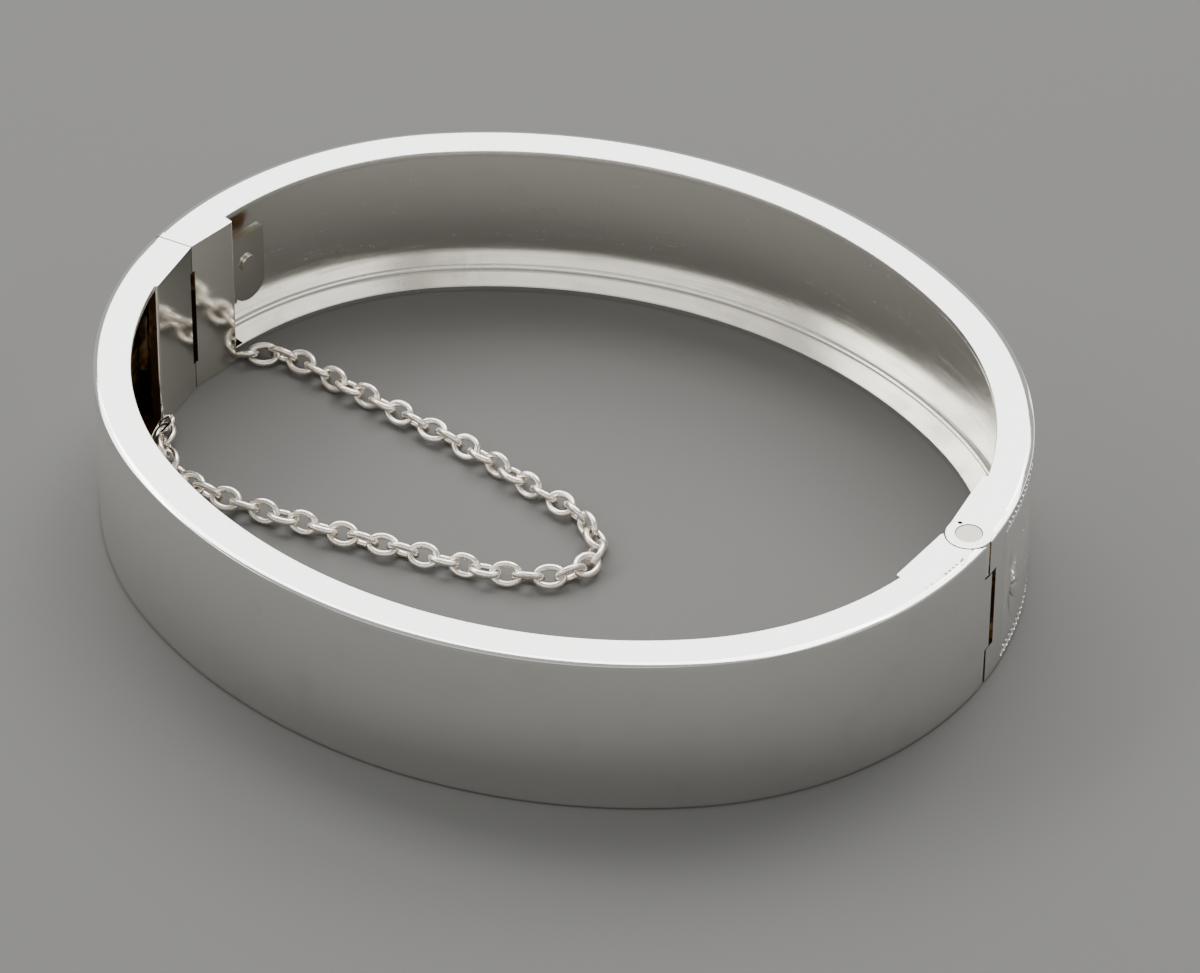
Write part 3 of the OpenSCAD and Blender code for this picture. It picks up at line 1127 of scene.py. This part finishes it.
@dataclass
class Engraving:
    """Depth map of hand engraving, in millimetres: along the oval by height.

    Attributes:
        start: how far along the oval it starts.
        end: how far along it ends.
        top: the band's height.
        cell: the map's spacing.
        deepest: where the depth stops.
        inset: how far the border keeps from the panel's ends.
        dash_pitch: from one dash to the next.
        dash_w: a dash's width.
        row_gap: from one row of dashes to its neighbour.
        dot_pitch: from one dot to the next.
        dot_w: a dot's width.
    """

    start: float
    end: float
    top: float = 12.7
    cell: float = 0.03
    deepest: float = 0.17
    inset: float = 0.35
    dash_pitch: float = 0.58
    dash_w: float = 0.32
    row_gap: float = 0.38
    dot_pitch: float = 0.42
    dot_w: float = 0.26
    depth: Array = field(init=False)

    def __post_init__(self) -> None:
        """Starts with a plain surface."""
        shape = (int((self.end - self.start) / self.cell) + 2, int(self.top / self.cell) + 2)
        self.depth = np.zeros(shape)

    def cut(self, path: Array, widths: Array, steep: float = 0.8) -> None:
        """Cuts a groove with a V section.

        Args:
            path: points along it, a row each.
            widths: its width at each point.
            steep: its depth for its half width.
        """
        for (u, v), width in zip(path, widths):
            reach = int(width / 2 / self.cell) + 2
            i, j = int((u - self.start) / self.cell), int(v / self.cell)
            i0, i1 = max(i - reach, 0), min(i + reach + 2, self.depth.shape[0])
            j0, j1 = max(j - reach, 0), min(j + reach + 2, self.depth.shape[1])
            if i1 <= i0 or j1 <= j0:
                continue
            du = self.start + np.arange(i0, i1)[:, None] * self.cell - u
            dv = np.arange(j0, j1)[None, :] * self.cell - v
            groove = (width / 2 - np.hypot(du, dv)) * steep
            part = self.depth[i0:i1, j0:j1]
            np.maximum(part, np.minimum(groove, self.deepest), out=part)

    def comma(self, u: float, v: float, heading: float, length: float, width: float, curl: float) -> None:
        """A bright cut like a comma: it swells quickly and tails off as it curls.

        Args:
            u: where its head lies along the oval.
            v: its head's height.
            heading: the way its tail starts, in radians.
            length: its length.
            width: its greatest width.
            curl: how far it turns along its length, in radians.
        """
        count = max(8, int(length / 0.05))
        peak = 0.22
        t = np.linspace(0, 1, count)
        angle = heading + curl * t
        step = length / count
        path = np.stack([u + np.cumsum(np.cos(angle)) * step, v + np.cumsum(np.sin(angle)) * step], 1)
        swell = np.minimum(t / peak, 1) ** 0.6 * (1 - np.maximum(t - peak, 0) / (1 - peak)) ** 0.8
        self.cut(path, np.maximum(width * swell, 0.03))

    def spray(self, u: float, v: float, heading: float, size: float, leaves: int, spread: float) -> None:
        """A fan of commas, the longest in the middle.

        Args:
            u: its root along the oval.
            v: its root's height.
            heading: the way it points, in radians.
            size: length of its longest leaf.
            leaves: how many leaves.
            spread: the angle that the fan spans, in radians.
        """
        for k in range(leaves):
            off = k / (leaves - 1) - 0.5
            angle = heading + spread * off
            length = size * (1 - 1.3 * off * off)
            start = u + math.cos(angle) * 0.15, v + math.sin(angle) * 0.15
            self.comma(*start, angle, length, 0.16 + 0.2 * length, 1.5 * off)

    def flower(self, u: float, v: float, size: float, petals: int) -> None:
        """A rosette: petals round a dot."""
        for k in range(petals):
            angle = 2 * math.pi * k / petals + 0.3
            start = u + math.cos(angle) * size * 0.25, v + math.sin(angle) * size * 0.25
            self.comma(*start, angle, size * 0.8, size * 0.5, 0)

    def scroll(self, u: float, side: int, radius: float) -> None:
        """A leafy spiral inside a bend of the stem, curling in to a rosette.

        Args:
            u: its middle along the oval.
            side: 1 inside a bend at the top and -1 inside one at the bottom.
            radius: its outside radius.
        """
        middle = self.top / 2 - 0.5 * side
        t = np.linspace(0, 1, 420)
        angle = side * (math.pi - 0.15 - 2.75 * math.pi * t)
        r = radius * (1 - t) ** 0.72 + 0.62 * t + 0.75 * np.exp(-14 * t)
        path = np.stack([u + np.cos(angle) * r, middle + np.sin(angle) * r], 1)
        self.cut(path, 0.3 + 0.12 * np.sin(math.pi * t))
        self.cut(path[-1:], np.array([0.5]))
        out = np.stack([np.cos(angle), np.sin(angle)], 1)
        for k in range(26, 300, 19):
            size = 0.38 * r[k] + 0.12
            start = path[k] + out[k] * 0.24
            self.comma(*start, angle[k] - side * 0.55, size, 0.2 + 0.14 * r[k], -side * 1.1)
        for k in range(40, 235, 24):
            start = path[k] - out[k] * 0.26
            self.comma(*start, angle[k] + math.pi + side * 0.75, 0.26 * r[k], 0.3, side * 0.8)
        self.flower(u - 0.05, middle, 0.6, 5)

    def dashes(self, height: float, slant: float, start: float, end: float) -> None:
        """A row of short slanting dashes along the oval."""
        t = np.linspace(-1, 1, 7)[:, None]
        for u in np.arange(start, end, self.dash_pitch):
            path = np.array([[u, height]]) + t * np.array([[0.15, 0.09 * slant]])
            self.cut(path, np.full(7, self.dash_w), steep=1.3)

    def dots(self, u: float, low: float, high: float) -> None:
        """An upright row of round dots."""
        for v in np.arange(low, high, self.dot_pitch):
            self.cut(np.array([[u, v]]), np.array([self.dot_w]))

    def border(self) -> None:
        """Double rows of dashes along both rims, and rows of dots at both ends."""
        low, high = self.start + self.inset, self.end - self.inset
        for height in (0.66, self.top - 1.04):
            self.dashes(height, 1, low, high)
            self.dashes(height + self.row_gap, -1, low + self.dash_pitch / 2, high)
        for u in (low + 0.1, high - 0.05):
            self.dots(u, 1.75, self.top - 1.6)

    def vine(self) -> None:
        """The running vine: a waving stem with a leafy scroll in each bend and sprays beside it."""
        middle = self.top / 2
        bends = 11
        low, high = self.start + 3.3, self.end - 3.3
        pitch = (high - low) / bends
        u = np.linspace(low, high, 4200)
        wave = np.sin(math.pi * (u - low) / pitch)
        wave = np.sign(wave) * np.abs(wave) ** 0.75
        self.cut(np.stack([u, middle + 3.75 * wave], 1), np.full(len(u), 0.34))
        for k in range(bends):
            side = 1 if k % 2 == 0 else -1
            centre = low + pitch * (k + 0.5)
            self.scroll(centre, side, 2.75)
            for off, way in ((-0.36, 2.3), (0.36, 0.85)):
                self.spray(centre + off * pitch, middle + side * 3.7, side * way, 0.85, 3, 1.3)
            self.spray(centre + 0.02 * pitch, middle - side * 3.5, -side * math.pi / 2, 1.05, 5, 2.6)
            self.spray(centre + 0.5 * pitch, middle + side * 1.4, side * 1.35, 0.9, 3, 1.2)

    def palmette(self, u: float, way: int) -> None:
        """A tall fan of bright leaves at one end of the panel, pointing along it one way or the other."""
        middle = self.top / 2
        for side in (1, -1):
            for k, (heading, length) in enumerate(((1.5, 3.9), (1.12, 3.2), (0.72, 2.5), (0.34, 1.8))):
                angle = side * heading if way > 0 else math.pi - side * heading
                self.comma(
                    u + 0.1 * k * way, middle + side * (0.75 - 0.15 * k), angle, length, 0.62 - 0.05 * k,
                    -side * way * (0.5 - 0.08 * k),
                )
        self.comma(u + 0.2 * way, middle, 0 if way > 0 else math.pi, 1.5, 0.42, 0)

    def draw(self) -> None:
        """Engraves the whole panel."""
        self.border()
        self.vine()
        self.palmette(self.start + 1.15, 1)
        self.palmette(self.end - 1.15, -1)

    def at(self, along: Array, height: Array) -> Array:
        """Depth at points, in millimetres.

        Args:
            along: how far along the oval each lies.
            height: each one's height.

        Returns:
            The depth at each.
        """
        i = np.clip((along - self.start) / self.cell, 0, self.depth.shape[0] - 1.001)
        j = np.clip(height / self.cell, 0, self.depth.shape[1] - 1.001)
        i0, j0 = i.astype(int), j.astype(int)
        fi, fj = i - i0, j - j0
        low = self.depth[i0, j0] * (1 - fj) + self.depth[i0, j0 + 1] * fj
        high = self.depth[i0 + 1, j0] * (1 - fj) + self.depth[i0 + 1, j0 + 1] * fj
        return low * (1 - fi) + high * fi


@dataclass
class Panel:
    """The engraved panel: one thin slab for each arc, flush with the band's outside.

    Attributes:
        near_hinge: where it starts, as the distance in y from the long axis.
        near_clasp: where it ends, likewise.
        columns: faces along each arc.
        rows: faces over the height.
        clear: hairline between the panel and its bed.
    """

    near_hinge: float = 1.1 * MM
    near_clasp: float = 3.35 * MM
    columns: tuple = (362, 568, 328)
    rows: int = 168
    clear: float = 0.006 * MM

    @property
    def start(self) -> float:
        """The angle on the hinge's arc at which it starts."""
        return math.asin(self.near_hinge / OVAL.end_r)

    @property
    def end(self) -> float:
        """The angle on the clasp's arc at which it ends."""
        return math.pi - math.asin(self.near_clasp / OVAL.end_r)

    def slab(self, number: int, engraving: Engraving) -> Piece:
        """One arc's slab.

        Args:
            number: which arc.
            engraving: the depth map.

        Returns:
            The slab.
        """
        s = SIZES
        arc = OVAL.arcs[number]
        start = self.start + self.clear / arc.radius if number == 0 else arc.start
        end = self.end - self.clear / arc.radius if number == 2 else arc.end
        heights = (s.bed_in + self.clear, s.band_h - s.bed_in - self.clear)
        piece = upright(f"engraved_panel_{number + 1}", (0, s.bed_deep - self.clear), heights)
        pick(piece, Kind.FACE)
        bpy.ops.mesh.delete(type="ONLY_FACE")
        pick(piece, Kind.EDGE, lambda x, y, z: abs(x) < TINY)
        # One subdivide makes 100 cuts at most, so the rows are made by two.
        bpy.ops.mesh.subdivide(number_cuts=self.rows // 2 - 1)
        bpy.ops.mesh.subdivide(number_cuts=1)
        stand(piece, 1, arc, start)
        pick(piece, Kind.EDGE)
        spin_along(piece, 1, [(arc, start, end, self.columns[number])])
        bpy.ops.mesh.select_all(action="SELECT")
        bpy.ops.mesh.remove_doubles(threshold=TINY)
        bpy.ops.mesh.normals_make_consistent(inside=False)
        to_mode("OBJECT")
        co = points_of(piece)
        along, depth = OVAL.locate(co)
        cuts = engraving.at(along / MM, co[:, 2] / MM)
        inside = depth > 0.1 * MM
        cuts[inside] = 0
        edge = np.minimum(co[:, 2] - heights[0], heights[1] - co[:, 2])
        cuts[edge < TINY] = 0
        group = piece.vertex_groups.new(name="engraving")
        for vertex in np.flatnonzero(cuts > 0.002):
            group.add([int(vertex)], cuts[vertex] / engraving.deepest, "REPLACE")
        finish_by(
            piece, "DISPLACE", strength=-engraving.deepest * MM, mid_level=0, vertex_group="engraving",
            direction="NORMAL",
        )
        mark(piece, "cut", cuts / engraving.deepest)
        close_up(piece)
        bpy.ops.object.shade_smooth_by_angle(angle=math.radians(30))
        return piece

    def build(self, finishes: Finishes) -> None:
        arcs = OVAL.arcs
        first = (arcs[0].radius * self.start) / MM
        last = (arcs[2].before + arcs[2].radius * (self.end - arcs[2].start)) / MM
        engraving = Engraving(first, last)
        engraving.draw()
        for number in range(3):
            piece = self.slab(number, engraving)
            piece.data.materials.append(finishes.of(ENGRAVED))
            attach(piece, "root")
            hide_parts("engraved_half")
            log.info("%s: %d faces", piece.name, len(piece.data.polygons))


PANEL = Panel()


# The chain and the pin


@dataclass
class Chain:
    """The loose safety chain: one oval link, laid at each of the solids' places.

    Attributes:
        name: the piece's name.
        count: how many links there are.
        half_length: half the length of a link's middle line.
        half_width: half its width.
        wire: the wire's thickness.
        sway: how far the links roll more and less than the solids do, in radians.
        sway_start: where the first link is in the sway, in radians.
        sway_step: from one link to the next in the sway.
    """

    name: str = "chain_links"
    count: int = 48
    half_length: float = 1.0 * MM
    half_width: float = 0.7 * MM
    wire: float = 0.48 * MM
    sway: float = math.radians(24)
    sway_start: float = 0.9
    sway_step: float = 0.68

    def link(self) -> Piece:
        """One oval link of round wire, lying along X."""
        bpy.ops.curve.primitive_bezier_circle_add(radius=1)
        piece = bpy.context.object
        piece.scale = (self.half_length, self.half_width, 1)
        settle(piece)
        for point in piece.data.splines[0].bezier_points:
            point.radius = 1
        piece.data.bevel_depth = self.wire / 2
        piece.data.bevel_resolution = 4
        piece.data.resolution_u = 11
        bpy.ops.object.convert(target="MESH")
        return bpy.context.object

    def places(self) -> list:
        """Where the solids' links lie: each one's middle, and its long, wide and thin way as a matrix."""
        co = points_of(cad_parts["safety_chain"])
        out = []
        for part in np.split(co, self.count):
            middle = (part.min(0) + part.max(0)) / 2
            _, _, ways = np.linalg.svd(part - part.mean(0), full_matrices=False)
            ways[2] = np.cross(ways[0], ways[1])
            out.append((part.mean(0) * 0.5 + middle * 0.5, ways.T))
        return out

    def build(self, finishes: Finishes) -> Piece:
        link = self.link()
        links = []
        rest = []
        for number, (middle, ways) in enumerate(self.places()):
            roll = self.sway * math.sin(self.sway_step * number + self.sway_start)
            turn = Matrix([list(row) for row in ways]) @ Matrix.Rotation(roll, 3, "X")
            rise = math.hypot(self.half_length * turn[2][0], self.half_width * turn[2][1]) + self.wire / 2
            links.append((Vector([float(v) for v in middle]), turn))
            rest.append(rise)
        highest = np.maximum.reduce([rest, np.roll(rest, 1), np.roll(rest, -1)])
        rise = np.convolve(highest, np.ones(3) / 3, "same")
        pieces = []
        for (middle, turn), height in zip(links, rise):
            copy = link.copy()
            copy.data = link.data.copy()
            bpy.context.scene.collection.objects.link(copy)
            middle.z = max(middle.z, height)
            copy.matrix_world = Matrix.Translation(middle) @ turn.to_4x4()
            pieces.append(copy)
        bpy.data.objects.remove(link)
        to_mode("OBJECT")
        bpy.ops.object.select_all(action="DESELECT")
        for copy in pieces:
            copy.select_set(True)
        bpy.context.view_layer.objects.active = pieces[0]
        bpy.ops.object.join()
        piece = settle(bpy.context.object)
        piece.name = self.name
        bpy.ops.object.shade_smooth()
        piece.data.materials.clear()
        piece.data.materials.append(finishes.of(CHAIN))
        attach(piece, "root")
        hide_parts("safety_chain")
        log.info("%s: %d faces", self.name, len(piece.data.polygons))
        return piece


@dataclass
class Pin:
    """The hinge's pin, filed nearly flush with the knuckles.

    Attributes:
        name: the piece's name.
        sunk: how far its ends lie under the knuckles' faces.
    """

    name: str = "pin_body"
    sunk: float = 0.04 * MM

    def build(self, finishes: Finishes) -> Piece:
        piece = rod(PIN_AT, SIZES.pin_r, self.sunk, SIZES.band_h - self.sunk, SIZES.turn)
        piece.name = self.name
        smooth(piece)
        piece.data.materials.append(finishes.of(PIN))
        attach(piece, "root")
        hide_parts("hinge_pin")
        log.info("%s: %d faces", self.name, len(piece.data.polygons))
        return piece


# Floor, light and camera


@dataclass(frozen=True)
class Softbox:
    """A soft area light that faces the bangle, with its first side as nearly along X as it can be.

    Attributes:
        name: its name.
        place: where it stands.
        size: its two sides.
        power: its power, in watts.
    """

    name: str
    place: tuple
    size: tuple
    power: float

    def build(self) -> None:
        """Makes the light."""
        data = bpy.data.lights.new(self.name, "AREA")
        data.shape = "RECTANGLE"
        data.size, data.size_y = self.size
        data.energy = self.power
        light = bpy.data.objects.new(self.name, data)
        bpy.context.scene.collection.objects.link(light)
        ahead = -Vector(self.place).normalized()
        across = (Vector((1, 0, 0)) - ahead * ahead.x).normalized()
        turn = Matrix((across, across.cross(ahead), -ahead)).transposed().to_4x4()
        light.matrix_world = Matrix.Translation(self.place) @ turn


SOFTBOXES = (
    Softbox("back_light", (-0.37, 0.74, 0.69), (1.0, 0.45), 5.4),
    Softbox("top_light", (-0.28, 0.34, 0.97), (1.1, 0.36), 7.4),
    Softbox("corner_light", (0.08, 0.64, 0.8), (0.4, 0.5), 3.2),
    Softbox("left_light", (-0.8, -0.06, 0.72), (0.3, 1.2), 4.9),
    Softbox("front_light", (0.0, -0.85, 0.72), (1.2, 0.4), 1.5),
    Softbox("right_light", (0.8, -0.1, 0.7), (0.3, 1.0), 1.5),
    Softbox("low_light", (0.46, 0.86, 0.2), (0.9, 0.4), 2.6),
)


@dataclass
class Studio:
    """Plain floor, soft light and the camera at the photograph's angle.

    Attributes:
        azimuth: the camera's heading, in degrees from +Y towards +X.
        elevation: how far it looks down, in degrees.
        roll: its roll, in degrees.
        position: where it stands.
        lens: focal length for a 36 mm sensor, in millimetres.
        floor_colour: the floor's colour.
        surround: the surround's colour.
        glow: the surround's strength.
    """

    azimuth: float = -26.7558
    elevation: float = 39.9348
    roll: float = 0.3691
    position: tuple = (0.173332, -0.337861, 0.321598)
    lens: float = 214.776
    floor_colour: tuple = (0.16, 0.158, 0.15, 1)
    surround: tuple = (0.8, 0.81, 0.82, 1)
    glow: float = 0.62

    def camera(self) -> None:
        """Places the camera and makes it the scene's."""
        az, el, roll = (math.radians(a) for a in (self.azimuth, self.elevation, self.roll))
        ahead = Vector((math.sin(az) * math.cos(el), math.cos(az) * math.cos(el), -math.sin(el)))
        right = Vector((math.cos(az), -math.sin(az), 0))
        up = right.cross(ahead)
        across = right * math.cos(roll) + up * math.sin(roll)
        upward = up * math.cos(roll) - right * math.sin(roll)
        data = bpy.data.cameras.new("camera")
        data.lens = self.lens
        data.sensor_width = 36
        data.sensor_fit = "HORIZONTAL"
        data.clip_start = 0.01
        data.clip_end = 20
        camera = bpy.data.objects.new("camera", data)
        bpy.context.scene.collection.objects.link(camera)
        turn = Matrix((across, upward, -ahead)).transposed().to_4x4()
        camera.matrix_world = Matrix.Translation(self.position) @ turn
        bpy.context.scene.camera = camera

    def floor(self) -> None:
        """A plain pale floor."""
        bpy.ops.mesh.primitive_plane_add(size=3)
        floor = bpy.context.object
        floor.name = "floor"
        material = bpy.data.materials.new("floor")
        material.use_nodes = True
        shader = material.node_tree.nodes["Principled BSDF"]
        shader.inputs["Base Color"].default_value = self.floor_colour
        shader.inputs["Roughness"].default_value = 0.9
        shader.inputs["Specular IOR Level"].default_value = 0.2
        floor.data.materials.append(material)

    def light(self) -> None:
        """Soft boxes all round and above, the brightest behind and to the left, and a pale surround."""
        for softbox in SOFTBOXES:
            softbox.build()
        world = bpy.data.worlds.new("surround")
        world.use_nodes = True
        background = world.node_tree.nodes["Background"].inputs
        background[0].default_value = self.surround
        background[1].default_value = self.glow
        bpy.context.scene.world = world

    def build(self) -> None:
        """Sets up the whole studio."""
        self.camera()
        self.floor()
        self.light()


def dress_node(name: str, finish: Silver, finishes: Finishes) -> None:
    """Gives a solid that stays its finish."""
    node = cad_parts[name]
    node.data.materials.clear()
    node.data.materials.append(finishes.of(finish))
    log.info("%s: kept, %s", name, finish.name)


def main() -> None:
    """Builds every piece in order and reports it."""
    logging.basicConfig(level=logging.INFO, format="%(name)s: %(message)s")
    Studio().build()
    finishes = Finishes()
    PlainHalf().build(finishes)
    EngravedHalf().build(finishes)
    PANEL.build(finishes)
    Pin().build(finishes)
    Chain().build(finishes)
    for name in ("snap_tongue", "tongue_rivet"):
        dress_node(name, TONGUE, finishes)


if __name__ == "__main__":
    main()
